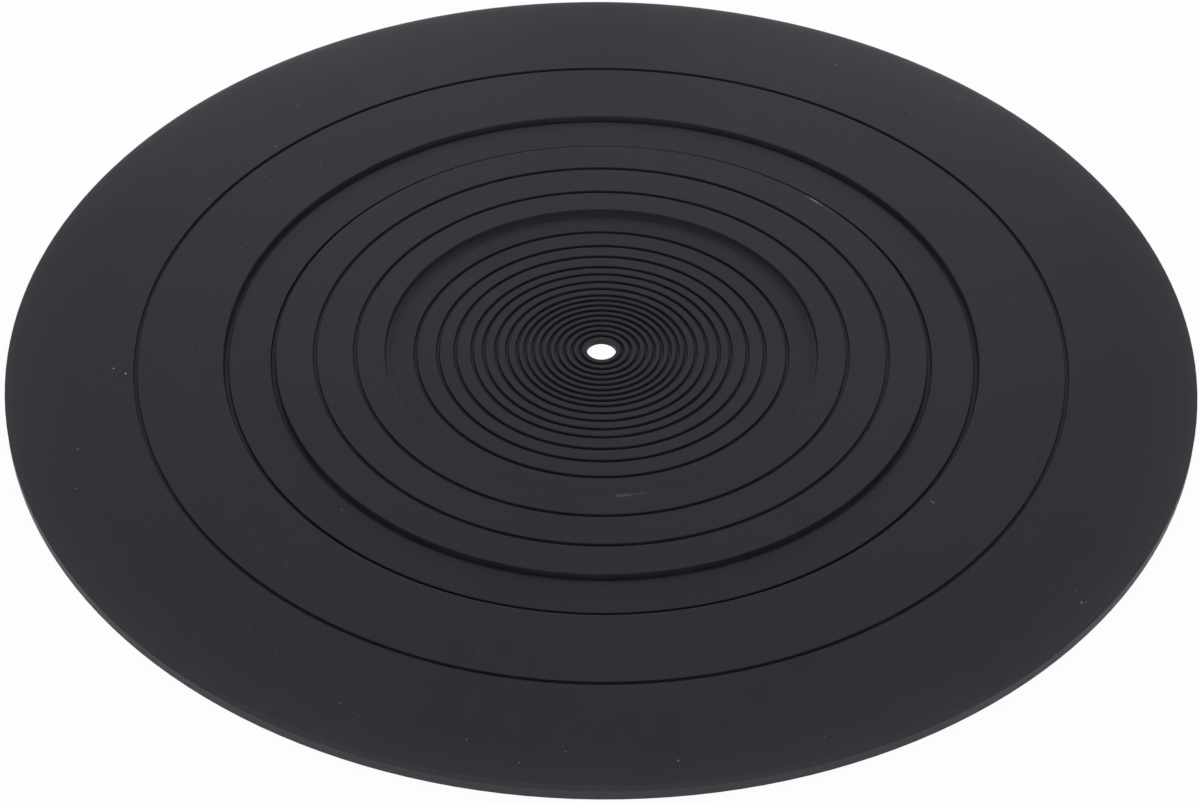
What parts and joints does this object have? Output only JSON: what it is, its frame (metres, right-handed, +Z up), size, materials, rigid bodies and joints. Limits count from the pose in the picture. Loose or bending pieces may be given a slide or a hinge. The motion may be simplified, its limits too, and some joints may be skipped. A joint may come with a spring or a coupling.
{
  "type": "turntable platter mat",
  "caption": "Round flat rubber mat with a spindle hole, a recessed label area, a shallow ring channel and concentric grooves, laid on a record player's platter.",
  "frame": {"origin": "centre of the underside, on the spindle's axis", "axes": "+Z up along the spindle's axis, from the underside to the face that carries the record; the mat is round, so +X and +Y are any two square directions across it"},
  "size_m": [0.3, 0.3, 0.003],
  "materials": {
    "rubber": "matte charcoal black, lightly dusty"
  },
  "bodies": {
    "root": {"platter_mat": "rubber"}
  },
  "joints": []
}
